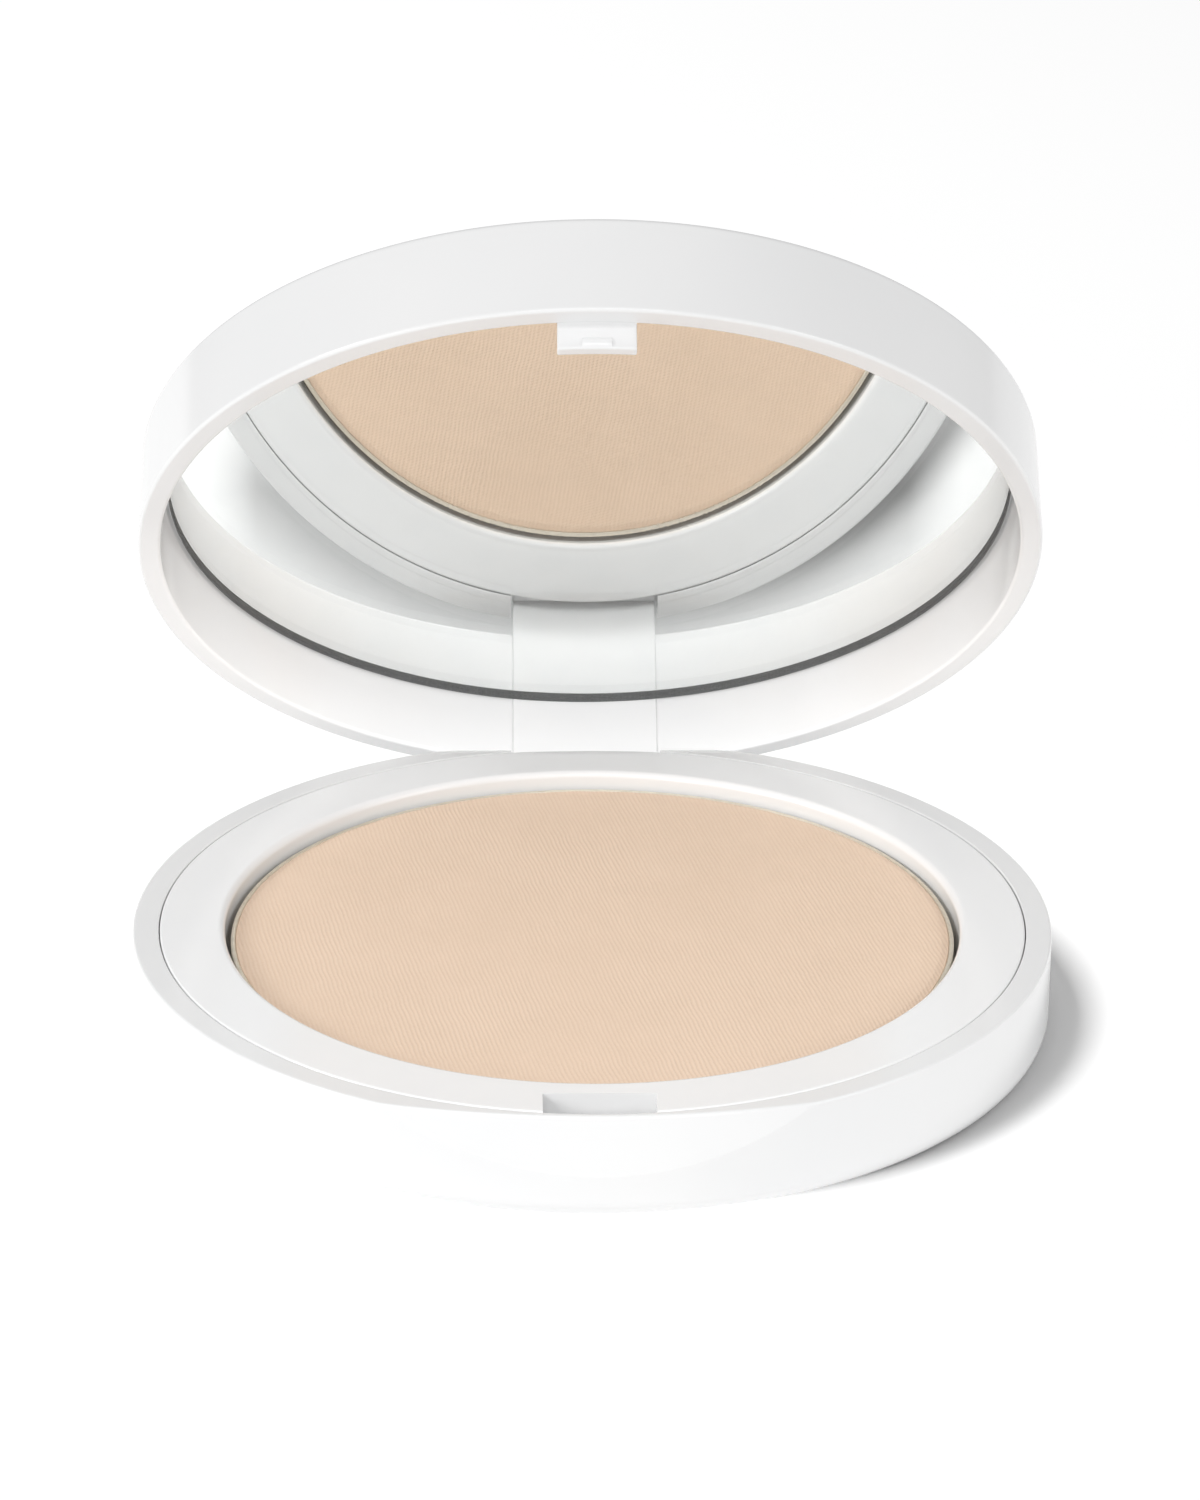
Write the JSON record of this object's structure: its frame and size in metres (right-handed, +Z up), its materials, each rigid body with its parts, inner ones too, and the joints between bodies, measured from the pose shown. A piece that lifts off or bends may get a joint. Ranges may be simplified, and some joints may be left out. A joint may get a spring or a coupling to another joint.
{
  "type": "powder compact",
  "caption": "Round pressed-powder compact with a moulded base, a powder pan in a well, and a pin-hinged lid with a mirror, shown half open.",
  "frame": {"origin": "centre of the base's underside, on the surface it rests on", "axes": "+Z up, -Y towards the thumb recess and latch at the front, +Y towards the hinge, +X to the right seen from the front"},
  "size_m": [0.075, 0.0841, 0.0671],
  "materials": {
    "white_plastic": "glossy white moulded plastic",
    "powder": "matt pressed powder with a fine woven imprint",
    "pan_metal": "bright stamped sheet",
    "pin_steel": "drawn wire",
    "mirror_glass": "silvered glass with a dark edge",
    "adhesive": "translucent adhesive",
    "label_film": "blank satin label film"
  },
  "bodies": {
    "base": {"base_shell": "white_plastic", "pan_frame": "white_plastic", "powder_pan": "pan_metal", "pressed_powder": "powder", "pan_glue_dots": "adhesive", "hinge_pin": "pin_steel", "base_label": "label_film"},
    "lid": {"lid_shell": "white_plastic", "mirror": "mirror_glass", "mirror_tape": "adhesive"}
  },
  "joints": [
    {"name": "lid_hinge", "type": "hinge", "parent": "base", "child": "lid", "pos_m": [0, 0.0341, 0.0031], "axis": [-1, 0, 0], "range_deg": [-51, 34]}
  ]
}
